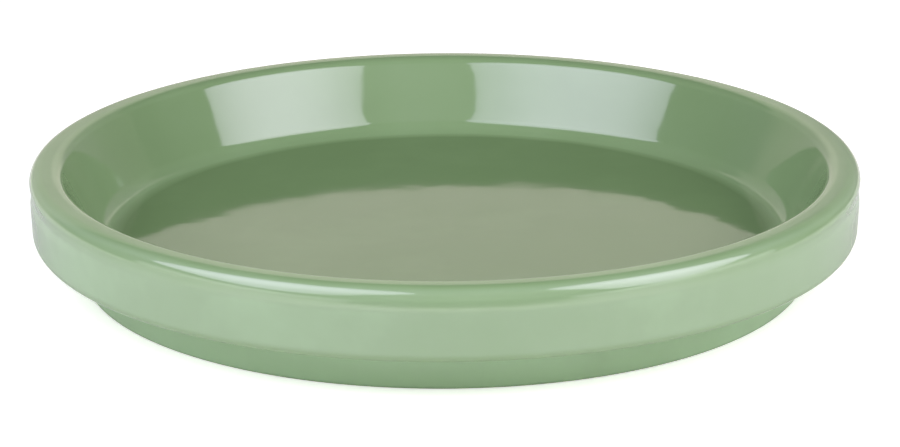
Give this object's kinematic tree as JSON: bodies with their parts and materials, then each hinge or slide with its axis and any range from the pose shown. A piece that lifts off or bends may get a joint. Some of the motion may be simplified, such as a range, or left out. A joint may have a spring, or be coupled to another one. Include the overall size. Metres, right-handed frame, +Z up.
{
  "type": "plant saucer",
  "caption": "Round glazed ceramic plant saucer with a flat dish, thick lipped rim, upright band and narrower bare foot ring, for catching water under a pot.",
  "frame": {"origin": "centre of the standing ring's underside", "axes": "+Z up along the saucer's axis, +X to the right and -Y towards the viewer of the picture"},
  "size_m": [0.2, 0.2, 0.0272],
  "materials": {
    "bare_clay": "fired and unglazed, fine grained",
    "green_glaze": "glossy pale sage green glaze"
  },
  "bodies": {
    "root": {"clay_body": "bare_clay", "glaze_coat": "green_glaze"}
  },
  "joints": []
}
